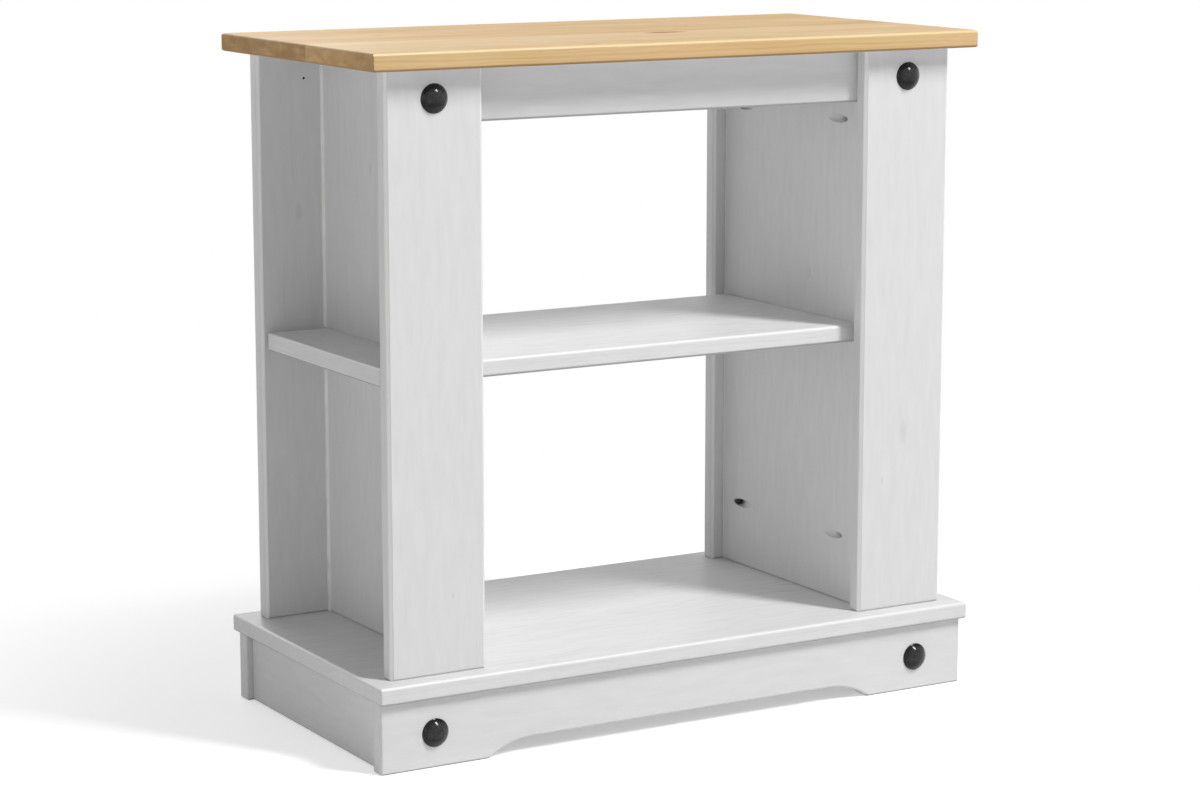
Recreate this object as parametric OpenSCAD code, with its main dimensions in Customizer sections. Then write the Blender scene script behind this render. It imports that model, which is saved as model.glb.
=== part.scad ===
// Aquarium stand: a clear-finished pine top on four flat posts, with a side panel between
// the posts at each end, shelves at mid-height, and a base board on a recessed plinth.
// Origin on the floor under the middle of the stand. X is the width and -Y is the front.

/* [Overall] */
// Width of the top board and of the base board
stand_w = 800; // [700:10:1200]
// Depth of the top board and of the base board
stand_d = 400; // [340:10:600]
// Height of the stand, floor to top
stand_h = 800; // [600:10:1000]
// Thickness of every board
board_t = 21; // [18:1:26]
// Radius of the long edges that show
edge_r = 4; // [1:0.5:6]
// Radius of the edges that meet at a joint, and of the arch's edges
joint_r = 2.5; // [0.5:0.5:4]
// Radius of the upright corners of the top board, the base board and the long plinth boards
corner_r = 1.5; // [0.5:0.5:6]

/* [Posts and panels] */
// Overhang of the top board and the base board past the posts
overhang = 24; // [15:1:45]
// Width of a post
post_w = 121; // [100:1:160]
// Width of the bevel along a post's upright edges
post_bevel = 4; // [1:0.5:6]
// Step from a post's inner edge back to the side panel's inner face
panel_reveal = 16; // [8:1:40]
// Height of the front apron and the rear apron
apron_h = 62; // [60:1:110]

/* [Shelves] */
// Drop of the shelves below the middle of the height between the base board and the top board
shelf_drop = 1; // [0:1:60]
// Step from the posts' inner faces back to the front and rear edges of the shelves
shelf_setback = 7; // [1:1:25]
// Step from a post's outer edge back to an outer shelf's outer edge
outer_shelf_setback = 5; // [0:1:25]

/* [Plinth] */
// Height of the plinth
plinth_h = 81; // [66:1:140]
// Step from the base board's front and rear edges back to the plinth
plinth_setback_y = 9; // [2:1:24]
// Step from the base board's ends back to the plinth
plinth_setback_x = 4; // [0:1:24]
// Step from the long plinth boards' ends in to the short ones
plinth_side_inset = 7; // [0:1:30]
// Length of a foot, outside the arch
foot_l = 135; // [90:5:240]
// Height of the arch
arch_h = 18.5; // [8:0.5:30]
// Radius of the arch's two ends
arch_r = 100; // [40:5:200]
// Side of a corner block
block_w = 30; // [28:1:44]
// Height of a corner block
block_h = 45; // [40:1:60]

/* [Studs] */
// Diameter of a domed stud
stud_d = 33; // [16:1:44]
// Height of the dome
stud_h = 8; // [3:0.5:14]
// Thickness of the rim under the dome
stud_rim = 1; // [0.5:0.25:3]
// Diameter of the pin
stud_pin_d = 3; // [2:0.5:5]
// Drop from the top board's underside to the studs on the posts
post_stud_drop = 32; // [24:1:90]
// Step from a long plinth board's end to its stud
plinth_stud_in = 67; // [30:1:85]

/* [Pocket screws] */
// Diameter of a pocket
pocket_d = 10.5; // [9.5:0.5:12]
// Angle of a pocket to the face of the board
pocket_angle = 15; // [14:0.5:17]
// Distance from the panel's front edge to its pockets
pocket_front = 38; // [22:1:38]
// Distance from the panel's rear edge to its pockets
pocket_rear = 28; // [22:1:38]
// Distance from an apron's top edge to its pockets
pocket_apron = 17; // [16:1:19]
// Drop from the top board's underside to the upper pockets of a panel
pocket_drop = 86; // [70:1:140]
// Rise from the base board to the lower pockets of a panel
pocket_rise = 81; // [20:1:140]
// Spacing of the pockets along an apron
apron_pocket_spacing = 180; // [80:5:220]
// Diameter of the washer head of a pocket screw
washer_head_d = 9; // [7:0.5:9]
// Height of the washer head
washer_head_h = 2.4; // [1.5:0.1:4]

/* [Screws and dowels] */
// Diameter of a screw
screw_d = 4; // [3:0.5:4.5]
// Diameter of a countersunk head
sink_head_d = 8; // [6.5:0.5:9]
// Length of screw in the last board that it reaches
screw_bite = 14; // [8:1:15]
// Length of a base screw in the end of a post or panel
base_bite = 30; // [20:1:50]
// Diameter of a dowel
dowel_d = 8; // [6:0.5:8]
// Length of a dowel in the face of a board
dowel_face = 12; // [8:1:14]
// Length of a dowel in the end or edge of a board
dowel_end = 24; // [15:1:35]
// Spacing of the two dowels in a post's end
post_dowel_spacing = 70; // [50:2:80]
// Spacing of the two dowels in a panel's end
panel_dowel_spacing = 180; // [100:10:200]
// Spacing of the two dowels in a shelf's end
shelf_dowel_spacing = 200; // [100:10:220]
// Spacing of the two dowels in an apron's end
apron_dowel_spacing = 30; // [20:1:36]
// Gap round a screw or a dowel in its hole
hole_gap = 0.1; // [0.05:0.05:0.3]
// Free depth past a dowel's end
dowel_room = 1; // [0.5:0.5:3]

/* [Hidden] */
$fn = 64;
past = 1;

white = "#e6e6e4";
pine = "#dcb982";
black = "#1c1c1e";
steel = "#a9a9ab";
beech = "#d9b98c";

base_top = plinth_h + board_t;
top_under = stand_h - board_t;
post_l = top_under - base_top;
post_x = stand_w / 2 - overhang;
post_mid_x = post_x - post_w / 2;
post_y = stand_d / 2 - overhang;
inner_y = post_y - board_t;
post_mid_y = post_y - board_t / 2;
panel_x = post_x - post_w + panel_reveal;
panel_mid_x = panel_x + board_t / 2;
panel_out = panel_x + board_t;
shelf_z = (base_top + top_under - board_t) / 2 - shelf_drop;
shelf_d = 2 * (inner_y - shelf_setback);
plinth_x = stand_w / 2 - plinth_setback_x;
plinth_y = stand_d / 2 - plinth_setback_y;
side_x = plinth_x - plinth_side_inset;
block_x = side_x - board_t;
block_y = plinth_y - board_t;
apron_z = top_under - apron_h;
apron_mid_z = apron_z + apron_h / 2;
apron_mid_y = inner_y - board_t / 2;
arch_flat = plinth_x - foot_l - sqrt(arch_h * (2 * arch_r - arch_h));
pocket_reach = pocket_d / 2 / sin(pocket_angle);
shoulder = pocket_d / 2 / tan(pocket_angle) + washer_head_h / 2;
hole_d = screw_d + 2 * hole_gap;
sink_h = (sink_head_d - screw_d) / 2;
stud_sphere = (pow(stud_d / 2, 2) + pow(stud_h, 2)) / (2 * stud_h);

// Flat shapes

// Rectangle with round corners, its middle at the origin, with one radius at its lower corners and
// another at its upper ones
module soft_rect(w, h, low_r, high_r) {
    translate([-w / 2, low_r - h / 2])
        square([w, h - low_r - high_r]);
    translate([low_r - w / 2, -h / 2])
        square([w - 2 * low_r, h / 2]);
    translate([high_r - w / 2, 0])
        square([w - 2 * high_r, h / 2]);
    for (x = [-1, 1]) {
        translate([x * (w / 2 - low_r), low_r - h / 2])
            circle(low_r);
        translate([x * (w / 2 - high_r), h / 2 - high_r])
            circle(high_r);
    }
}

// Rectangle with bevelled corners, its middle at the origin
module bevelled_rect(w, h, bevel) {
    x = w / 2;
    y = h / 2;
    polygon([[bevel - x, -y], [x - bevel, -y], [x, bevel - y], [x, y - bevel],
        [x - bevel, y], [bevel - x, y], [-x, y - bevel], [-x, bevel - y]]);
}

// Section through the arch's rim, from the arch's middle out: round where the rim meets each face
module arch_section(reach) {
    difference() {
        translate([0, -board_t / 2 - past])
            square([reach + joint_r, board_t + 2 * past]);
        translate([reach, joint_r - board_t / 2])
            square([joint_r + past, board_t - 2 * joint_r]);
        for (side = [-1, 1])
            translate([reach + joint_r, side * (board_t / 2 - joint_r)])
                circle(joint_r);
    }
}

// Boards

// Board standing on the origin's plane, its plan given as the children, its lower and upper edges eased
module eased_plan(l, d, h, low_r, high_r) {
    translate([0, 0, h / 2])
        intersection() {
            linear_extrude(h, center = true)
                children();
            rotate([90, 0, 0])
                linear_extrude(d, center = true)
                    soft_rect(l, h, low_r, high_r);
            rotate([90, 0, 90])
                linear_extrude(l, center = true)
                    soft_rect(d, h, low_r, high_r);
        }
}

// Board with every edge eased
module eased_board(l, d, h, plan_r, low_r, high_r) {
    eased_plan(l, d, h, low_r, high_r)
        soft_rect(l, d, plan_r, plan_r);
}

// Fasteners, each along +Z

// Dowel with chamfered ends, from z = 0
module dowel(l) {
    tip = dowel_d / 8;
    rotate_extrude()
        polygon([[0, 0], [dowel_d / 2 - tip, 0], [dowel_d / 2, tip], [dowel_d / 2, l - tip],
            [dowel_d / 2 - tip, l], [0, l]]);
}

// Hole for a dowel
module dowel_hole(l) {
    cylinder(d = dowel_d + 2 * hole_gap, h = l);
}

// Countersunk screw with the top of its head at z = 0
module sunk_screw(l) {
    rotate_extrude()
        polygon([[0, 0], [sink_head_d / 2, 0], [screw_d / 2, sink_h], [screw_d / 2, l - screw_d],
            [0, l]]);
}

// Hole for a countersunk screw, its cone fitting the head
module sunk_screw_hole(l) {
    rotate_extrude()
        polygon([[0, 0], [sink_head_d / 2, 0], [hole_d / 2, sink_h - hole_gap], [hole_d / 2, l],
            [0, l]]);
}

// Pocket screw whose washer head rests on the pocket's shoulder at z = 0
module pocket_screw(l) {
    rotate_extrude()
        polygon([[0, -washer_head_h], [washer_head_d / 3, -washer_head_h],
            [washer_head_d / 2, -washer_head_h / 2], [washer_head_d / 2, 0], [screw_d / 2, 0],
            [screw_d / 2, l - screw_d], [0, l]]);
}

// Pocket and the screw hole past its shoulder, with the shoulder at z = 0
module pocket_hole(l) {
    translate([0, 0, -2 * shoulder])
        cylinder(d = pocket_d, h = 2 * shoulder);
    translate([0, 0, -past])
        cylinder(d = hole_d, h = l + past);
}

// Domed stud on its face at z = 0, with the pin going down through the board
module stud() {
    intersection() {
        translate([0, 0, stud_rim + stud_h - stud_sphere])
            sphere(stud_sphere);
        cylinder(d = stud_d, h = stud_rim + stud_h);
    }
    translate([0, 0, -board_t])
        cylinder(d = stud_pin_d, h = board_t + stud_rim);
}

// Hole for a stud's pin
module stud_hole() {
    translate([0, 0, -board_t - past])
        cylinder(d = stud_pin_d + 2 * hole_gap, h = board_t + 2 * past);
}

// Places: each module puts its children at every place of one kind

// Both ends, as the right end and its mirror image
module both_ends() {
    children();
    mirror([1, 0, 0])
        children();
}

// Front and rear, as the rear and its mirror image
module both_faces() {
    children();
    mirror([0, 1, 0])
        children();
}

// On the outer face of each post, +Z outward
module at_post_studs() {
    both_ends()
        both_faces()
            translate([post_mid_x, post_y, top_under - post_stud_drop])
                rotate([-90, 0, 0])
                    children();
}

// On the outer face of each long plinth board, +Z outward
module at_plinth_studs() {
    both_ends()
        both_faces()
            translate([plinth_x - plinth_stud_in, plinth_y, plinth_h / 2])
                rotate([-90, 0, 0])
                    children();
}

// At the shoulder of one pocket of the right panel, +Z toward the rear post
module at_rear_shoulder(from_edge, z) {
    translate([panel_x, inner_y - from_edge - pocket_reach, z])
        rotate([-90, 0, -pocket_angle])
            translate([0, 0, shoulder])
                children();
}

// At both heights of a panel's pockets, in both panels
module at_panel_pockets(from_edge) {
    both_ends()
        for (z = [base_top + pocket_rise, top_under - pocket_drop])
            at_rear_shoulder(from_edge, z)
                children();
}

module at_rear_pockets() {
    at_panel_pockets(pocket_rear)
        children();
}

module at_front_pockets() {
    mirror([0, 1, 0])
        at_panel_pockets(pocket_front)
            children();
}

// At the shoulders of the pockets in both aprons, +Z up toward the top board
module at_apron_pockets() {
    both_faces()
        for (i = [-1 : 1])
            translate([i * apron_pocket_spacing, inner_y - board_t, top_under - pocket_apron - pocket_reach])
                rotate([-pocket_angle, 0, 0])
                    translate([0, 0, shoulder])
                        children();
}

// In plan, at the dowels in the ends of the posts and panels
module at_end_dowels() {
    both_ends() {
        both_faces()
            for (i = [-0.5, 0.5])
                translate([post_mid_x + i * post_dowel_spacing, post_mid_y, 0])
                    children();
        for (i = [-0.5, 0.5])
            translate([panel_mid_x, i * panel_dowel_spacing, 0])
                children();
    }
}

// At the inner end of each dowel between post or panel and base board, +Z up
module at_base_dowels() {
    at_end_dowels()
        translate([0, 0, base_top - dowel_face])
            children();
}

// At the inner end of each dowel between post or panel and top board, +Z down
module at_top_dowels() {
    at_end_dowels()
        translate([0, 0, top_under + dowel_face])
            mirror([0, 0, 1])
                children();
}

// At the inner end of each dowel through a panel into the shelves beside it, +Z outward
module at_shelf_dowels() {
    both_ends()
        for (i = [-0.5, 0.5])
            translate([panel_x - dowel_end, i * shelf_dowel_spacing, shelf_z + board_t / 2])
                rotate([0, 90, 0])
                    children();
}

// At the end of each apron dowel in the panel, +Z into the apron
module at_apron_dowels() {
    both_ends()
        both_faces()
            for (i = [-0.5, 0.5])
                translate([panel_x + dowel_face, apron_mid_y, apron_mid_z + i * apron_dowel_spacing])
                    rotate([0, -90, 0])
                        children();
}

// Under the base board, at the screws into the posts and panels, +Z up
module at_base_screws() {
    both_ends() {
        both_faces()
            translate([post_mid_x, post_mid_y, plinth_h])
                children();
        translate([panel_mid_x, 0, plinth_h])
            children();
    }
}

// At each corner block's middle in plan, with +X and +Y toward the plinth boards
module at_blocks() {
    both_ends()
        both_faces()
            translate([block_x - block_w / 2, block_y - block_w / 2, plinth_h - block_h])
                children();
}

// On a corner block's faces, at the screws into the two plinth boards
module at_block_side_screws() {
    off = block_w / 5;
    at_blocks() {
        translate([-block_w / 2, off, block_h / 3])
            rotate([0, 90, 0])
                children();
        translate([off, -block_w / 2, block_h * 2 / 3])
            rotate([-90, 0, 0])
                children();
    }
}

// Under a corner block, at the screw into the base board
module at_block_base_screws() {
    off = block_w / 4;
    at_blocks()
        translate([-off, -off, 0])
            children();
}

// Lengths of the fasteners
end_dowel_l = dowel_face + dowel_end;
shelf_dowel_l = board_t + 2 * dowel_end;
base_screw_l = board_t + base_bite;
block_side_screw_l = block_w + screw_bite;
block_base_screw_l = block_h + screw_bite;
function pocket_screw_l(from_edge) =
    (from_edge + pocket_reach) / cos(pocket_angle) - shoulder + screw_bite;

// Cut every hole of the four posts, as each post holds its own share of them
module cut_post_holes() {
    difference() {
        children();
        at_post_studs()
            stud_hole();
        at_rear_pockets()
            cylinder(d = hole_d, h = pocket_screw_l(pocket_rear));
        at_front_pockets()
            cylinder(d = hole_d, h = pocket_screw_l(pocket_front));
        at_base_dowels()
            dowel_hole(end_dowel_l + dowel_room);
        at_top_dowels()
            dowel_hole(end_dowel_l + dowel_room);
        at_base_screws()
            cylinder(d = hole_d, h = base_screw_l);
    }
}

// Post with its outer face toward -Y for side_y = -1
module post(side_x, side_y) {
    color(white)
        cut_post_holes()
            translate([side_x * post_mid_x, side_y * post_mid_y, base_top])
                eased_plan(post_w, board_t, post_l, joint_r, joint_r)
                    bevelled_rect(post_w, board_t, post_bevel);
}

module front_left_post() {
    post(-1, -1);
}

module front_right_post() {
    post(1, -1);
}

module rear_left_post() {
    post(-1, 1);
}

module rear_right_post() {
    post(1, 1);
}

// Side panel, butted between a front and a rear post
module side_panel(side_x) {
    color(white)
        difference() {
            translate([side_x * panel_mid_x, 0, base_top])
                eased_board(board_t, 2 * inner_y, post_l, joint_r, joint_r, joint_r);
            at_rear_pockets()
                pocket_hole(pocket_screw_l(pocket_rear));
            at_front_pockets()
                pocket_hole(pocket_screw_l(pocket_front));
            at_base_dowels()
                dowel_hole(end_dowel_l + dowel_room);
            at_top_dowels()
                dowel_hole(end_dowel_l + dowel_room);
            at_shelf_dowels()
                dowel_hole(shelf_dowel_l);
            at_apron_dowels()
                dowel_hole(end_dowel_l);
            at_base_screws()
                cylinder(d = hole_d, h = base_screw_l);
        }
}

module left_side_panel() {
    side_panel(-1);
}

module right_side_panel() {
    side_panel(1);
}

module top_board() {
    color(pine)
        difference() {
            translate([0, 0, top_under])
                eased_board(stand_w, stand_d, board_t, corner_r, edge_r, edge_r);
            at_top_dowels()
                dowel_hole(end_dowel_l);
            at_apron_pockets()
                cylinder(d = hole_d, h = pocket_screw_l(pocket_apron));
        }
}

module base_board() {
    color(white)
        difference() {
            translate([0, 0, plinth_h])
                eased_board(stand_w, stand_d, board_t, corner_r, edge_r, edge_r);
            at_base_dowels()
                dowel_hole(end_dowel_l);
            at_base_screws()
                sunk_screw_hole(base_screw_l);
            at_block_base_screws()
                cylinder(d = hole_d, h = block_base_screw_l);
        }
}

module centre_shelf() {
    color(white)
        difference() {
            translate([0, 0, shelf_z])
                eased_board(2 * panel_x, shelf_d, board_t, edge_r, edge_r, edge_r);
            at_shelf_dowels()
                translate([0, 0, -dowel_room])
                    dowel_hole(shelf_dowel_l);
        }
}

// Outer shelf, between a panel and the post's outer edge
module outer_shelf(side_x) {
    l = post_x - outer_shelf_setback - panel_out;
    color(white)
        difference() {
            translate([side_x * (panel_out + l / 2), 0, shelf_z])
                eased_board(l, shelf_d, board_t, joint_r, joint_r, joint_r);
            at_shelf_dowels()
                dowel_hole(shelf_dowel_l + dowel_room);
        }
}

module left_outer_shelf() {
    outer_shelf(-1);
}

module right_outer_shelf() {
    outer_shelf(1);
}

// Apron under the top board, behind the edges of the posts
module apron(side_y) {
    color(white)
        difference() {
            translate([0, side_y * apron_mid_y, apron_z])
                eased_board(2 * panel_x, board_t, apron_h, joint_r, edge_r, joint_r);
            at_apron_pockets()
                pocket_hole(pocket_screw_l(pocket_apron));
            at_apron_dowels()
                dowel_hole(end_dowel_l + dowel_room);
        }
}

module front_apron() {
    apron(-1);
}

module rear_apron() {
    apron(1);
}

// Long plinth board: a shallow arch between two feet
module long_plinth_board(side_y) {
    color(white)
        difference() {
            translate([0, side_y * (plinth_y - board_t / 2), 0])
                difference() {
                    eased_board(2 * plinth_x, board_t, plinth_h, corner_r, joint_r, joint_r);
                    arch();
                }
            at_plinth_studs()
                stud_hole();
            at_block_side_screws()
                cylinder(d = hole_d, h = block_side_screw_l);
        }
}

// Space under the arch: level along the middle, and round down to the floor at both ends
module arch() {
    translate([0, 0, arch_h - arch_r]) {
        rotate([0, -90, 0])
            linear_extrude(2 * arch_flat, center = true)
                arch_section(arch_r);
        for (x = [-1, 1])
            translate([x * arch_flat, 0, 0])
                rotate([90, 0, 0])
                    rotate_extrude($fn = 180)
                        arch_section(arch_r);
    }
}

module front_plinth_board() {
    long_plinth_board(-1);
}

module rear_plinth_board() {
    long_plinth_board(1);
}

// Short plinth board, set in between the long ones
module short_plinth_board(side) {
    color(white)
        difference() {
            translate([side * (side_x - board_t / 2), 0, 0])
                eased_board(board_t, 2 * block_y, plinth_h, joint_r, edge_r, joint_r);
            at_block_side_screws()
                cylinder(d = hole_d, h = block_side_screw_l);
        }
}

module left_plinth_board() {
    short_plinth_board(-1);
}

module right_plinth_board() {
    short_plinth_board(1);
}

module plinth_corner_blocks() {
    color(pine)
        difference() {
            at_blocks()
                translate([-block_w / 2, -block_w / 2, 0])
                    cube([block_w, block_w, block_h]);
            at_block_side_screws()
                sunk_screw_hole(block_side_screw_l);
            at_block_base_screws()
                sunk_screw_hole(block_base_screw_l);
        }
}

module post_studs() {
    color(black)
        at_post_studs()
            stud();
}

module plinth_studs() {
    color(black)
        at_plinth_studs()
            stud();
}

module front_pocket_screws() {
    color(steel)
        at_front_pockets()
            pocket_screw(pocket_screw_l(pocket_front));
}

module rear_pocket_screws() {
    color(steel)
        at_rear_pockets()
            pocket_screw(pocket_screw_l(pocket_rear));
}

module apron_pocket_screws() {
    color(steel)
        at_apron_pockets()
            pocket_screw(pocket_screw_l(pocket_apron));
}

module top_dowels() {
    color(beech)
        at_top_dowels()
            dowel(end_dowel_l);
}

module base_dowels() {
    color(beech)
        at_base_dowels()
            dowel(end_dowel_l);
}

module shelf_dowels() {
    color(beech)
        at_shelf_dowels()
            dowel(shelf_dowel_l);
}

module apron_dowels() {
    color(beech)
        at_apron_dowels()
            dowel(end_dowel_l);
}

module base_screws() {
    color(steel)
        at_base_screws()
            sunk_screw(base_screw_l);
}

module block_side_screws() {
    color(steel)
        at_block_side_screws()
            sunk_screw(block_side_screw_l);
}

module block_base_screws() {
    color(steel)
        at_block_base_screws()
            sunk_screw(block_base_screw_l);
}

top_board();
base_board();
front_left_post();
front_right_post();
rear_left_post();
rear_right_post();
left_side_panel();
right_side_panel();
centre_shelf();
left_outer_shelf();
right_outer_shelf();
front_apron();
rear_apron();
front_plinth_board();
rear_plinth_board();
left_plinth_board();
right_plinth_board();
plinth_corner_blocks();
post_studs();
plinth_studs();
front_pocket_screws();
rear_pocket_screws();
apron_pocket_screws();
top_dowels();
base_dowels();
shelf_dowels();
apron_dowels();
base_screws();
block_side_screws();
block_base_screws();
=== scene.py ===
"""Looks of the aquarium stand: painted and clear-lacquered pine boards, black domed studs, and the fasteners in
the joints.

Everything is in metres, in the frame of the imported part: the floor is at z = 0 and the front faces -Y.
"""

import math
from collections import namedtuple

import bmesh
import bpy
from bpy.props import FloatProperty, FloatVectorProperty, IntProperty, PointerProperty
from mathutils import Matrix, Vector


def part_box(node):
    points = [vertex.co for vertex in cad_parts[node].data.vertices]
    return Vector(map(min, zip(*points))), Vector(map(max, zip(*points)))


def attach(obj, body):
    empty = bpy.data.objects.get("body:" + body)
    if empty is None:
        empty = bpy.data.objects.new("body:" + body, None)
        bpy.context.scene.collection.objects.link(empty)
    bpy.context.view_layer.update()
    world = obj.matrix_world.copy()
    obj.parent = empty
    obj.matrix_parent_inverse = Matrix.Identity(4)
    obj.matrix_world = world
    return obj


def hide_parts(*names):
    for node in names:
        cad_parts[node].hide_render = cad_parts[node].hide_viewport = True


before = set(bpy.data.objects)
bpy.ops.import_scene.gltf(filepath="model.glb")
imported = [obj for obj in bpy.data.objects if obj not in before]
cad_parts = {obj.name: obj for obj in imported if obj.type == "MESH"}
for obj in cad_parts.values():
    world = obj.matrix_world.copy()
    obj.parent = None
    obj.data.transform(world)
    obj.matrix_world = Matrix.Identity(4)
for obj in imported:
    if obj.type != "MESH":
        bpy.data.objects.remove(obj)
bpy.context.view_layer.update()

bl_info = {
    "name": "Aquarium stand looks",
    "version": (1, 0, 0),
    "blender": (4, 5, 0),
    "location": "View3D > Sidebar > Stand",
    "description": "Finishes the boards of the aquarium stand and builds its studs, screws and dowels",
    "category": "Object",
}

MM = 0.001
X, Y, Z = 0, 1, 2
WHITE = (1, 1, 1)
# Inputs of a Mix node that blends two colours, and its output.
SHARE, FIRST, SECOND, BLENDED = 0, 6, 7, 2
# Knots of each board: millimetres along and across its middle, and the knot's radius.
KNOTS = {
    "top_board": ((54, -52, 10), (-123, -183, 4), (-260, 70, 4)),
    "base_board": ((130, 60, 5),),
    "front_left_post": ((-250, 18, 3),),
    "front_right_post": ((-121, 2, 6), (-180, -28, 3)),
    "rear_left_post": ((150, -10, 5),),
    "rear_right_post": ((-40, 22, 4),),
    "left_side_panel": ((210, 30, 4),),
    "right_side_panel": ((60, -40, 4), (-250, 70, 3)),
    "centre_shelf": ((-60, 30, 4),),
}
# The nodes that every board's finish starts from: the place along, across and through the board in millimetres, the
# outputs of its grain, the share of a knot's heart, the shares of an edge and of an edge along its length, and the
# depth in millimetres below its nearest face, which only the walls of a bore have.
BoardNodes = namedtuple("BoardNodes", "place grain heart edge long_edge depth")


def linear(code):
    """An sRGB hex colour as linear red, green and blue."""
    shares = [int(code[i : i + 2], 16) / 255 for i in (1, 3, 5)]
    return tuple(c / 12.92 if c <= 0.04045 else ((c + 0.055) / 1.055) ** 2.4 for c in shares)


def colour(name, description, code):
    """A colour setting that starts from an sRGB hex value."""
    return FloatVectorProperty(
        name=name, description=description, subtype="COLOR", size=3, min=0, max=1, default=linear(code)
    )


def length(name, description, millimetres):
    """A length setting that starts from a value in millimetres."""
    return FloatProperty(
        name=name,
        description=description,
        subtype="DISTANCE",
        unit="LENGTH",
        min=0,
        precision=4,
        default=millimetres * MM,
    )


class StandColours(bpy.types.PropertyGroup):
    paint: colour("Paint", "White paint on the body", "#E1E1E1")
    paint_in_grain: colour("Paint in the grain", "White paint where it sinks into the latewood lines", "#D4D4D5")
    paint_over_knot: colour("Paint over a knot", "White paint with resin showing through from a knot", "#CECCC7")
    # Also a painted highlight on the upper edges and on the long edges of the posts and panels.
    highlight_paint: colour("Rubbed paint", "White paint rubbed smooth along the upper edges", "#E9E9E7")
    # Painted shade: a dark line along the lower edges of the boards.
    lower_edge_shade_paint: colour("Grimy paint", "White paint along the lower edges, where dust and dirt gather", "#9A9A98")
    # Bare wood in the pockets, darkened further as painted shade of the deep holes.
    pocket_wood_and_shade: colour("Pocket", "Scorched bare wood deep in the screw pockets", "#3E3A36")
    filler: colour("Filler", "White filler in the corners beside the side panels", "#FAFAF8")
    earlywood: colour("Earlywood", "Pale wood between the growth lines of the top", "#D8BB8A")
    latewood: colour("Latewood", "Darker wood of the growth lines of the top", "#C19A5F")
    heartwood: colour("Heartwood", "Rosier wood of the heartwood in the top", "#D9B184")
    end_grain: colour("End grain", "Wood at the ends of the top, where the lacquer soaks in", "#C69C56")
    soaked_end: colour("Soaked end grain", "Patches of the top's ends that soak up the most lacquer", "#996D2A")
    # Also a painted highlight along the top's upper edge.
    highlighted: colour("Rubbed edge", "Paler wood along the sanded upper edge of the top", "#E6CB98")
    # Painted shade: a dark line along the top's lower edge.
    lower_edge_shade_wood: colour("Gathered lacquer", "Lacquer that gathers in a dark line along the top's lower edge", "#9A7038")
    knot: colour("Knot", "Heart of a knot in the top", "#8F4A12")
    bare_pine: colour("Bare pine", "Unfinished pine of the corner blocks", "#E2C798")
    bare_latewood: colour("Bare latewood", "Growth lines of the corner blocks", "#CBA56C")
    beech: colour("Beech", "Bare beech of the dowels", "#D8B58B")
    beech_fleck: colour("Beech fleck", "Ray flecks in the beech", "#B98C60")
    stud: colour("Stud", "Black lacquer of the domed studs", "#070708")
    stud_dust_and_sheen: colour("Stud dust", "Fine dust on the domed studs", "#333335")
    # Dust and painted sheen on the studs' upper faces.
    zinc: colour("Zinc", "Aged zinc plating of the screws", "#74767A")
    zinc_dull: colour("Dull zinc", "Spangle in the zinc plating where it has dulled most", "#4C4D51")
    floor: colour("Floor", "Studio floor", "#EEEEEE")


class StandSizes(bpy.types.PropertyGroup):
    # Real fibres and brush marks are a fraction of a millimetre wide. Here they are drawn coarser, as wide as they
    # need to be to show in a render of the whole stand.
    stave: length("Stave width", "Width of the pine staves that the wide boards are glued from", 62)
    ring: length("Ring spacing", "Spacing of the pine's growth lines", 4.2)
    fibre: length("Fibre width", "Width of the fine streaks along the grain", 0.9)
    edge_wear: length("Edge wear", "Width of the strip along an edge where the finish is thin", 4)
    brush: length("Brush mark", "Width of a brush mark in the paint", 1.6)
    bead: length("Filler bead", "Reach of the filler in the corners beside the side panels", 3)
    rim_roll: length("Stud rim roll", "Radius of the rolled rim of a domed stud", 0.6)
    thread_pitch: length("Thread pitch", "Distance between two turns of a screw's thread", 1.8)
    thread_depth: length("Thread depth", "Height of a screw's thread above its core", 0.55)
    flute_depth: length("Flute depth", "Depth of the grooves along a dowel", 0.3)
    flutes: IntProperty(name="Flutes", description="Number of grooves round a dowel", min=6, max=40, default=18)


def feed(tree, node, links):
    """Give each input of a node in links a value or another node's output. A node stands for its first output."""
    for name, source in links.items():
        socket = node.inputs[name]
        if isinstance(source, bpy.types.Node):
            source = source.outputs[0]
        if isinstance(source, bpy.types.NodeSocket):
            tree.links.new(source, socket)
        elif socket.type == "RGBA":
            socket.default_value = (*source, 1)
        else:
            socket.default_value = source


def add(tree, kind, links=None, **settings):
    """Add a node, set its properties and feed its inputs."""
    made = tree.nodes.new(kind)
    for key, value in settings.items():
        setattr(made, key, value)
    feed(tree, made, links or {})
    return made


def patches(tree, place, long, wide, detail, thick=None, shift=(0, 0, 0)):
    """Soft uneven patches in a board, drawn out along its grain: this many millimetres long, wide and thick."""
    per_mm = (1 / long, 1 / wide, 1 / (thick or wide))
    spot = add(tree, "ShaderNodeVectorMath", {0: place, 1: per_mm, 2: shift}, operation="MULTIPLY_ADD")
    return add(tree, "ShaderNodeTexNoise", {"Vector": spot, "Scale": 1, "Detail": detail})


def layers(tree, under, *coats):
    """The colour of a surface under coats, each a pair of the share that it covers and its colour."""
    for share, coat in coats:
        colours = {SHARE: share, FIRST: under, SECOND: coat}
        under = add(tree, "ShaderNodeMix", colours, data_type="RGBA").outputs[BLENDED]
    return under


def new_group(name, inputs, outputs):
    """An empty node group with these float or vector sockets, what it is given, and its output node."""
    group = bpy.data.node_groups.new(name, "ShaderNodeTree")
    for socket in inputs:
        kind = "NodeSocketVector" if socket == "Board" else "NodeSocketFloat"
        group.interface.new_socket(socket, in_out="INPUT", socket_type=kind)
    for socket in outputs:
        group.interface.new_socket(socket, in_out="OUTPUT", socket_type="NodeSocketFloat")
    return group, add(group, "NodeGroupInput").outputs, add(group, "NodeGroupOutput")


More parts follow.
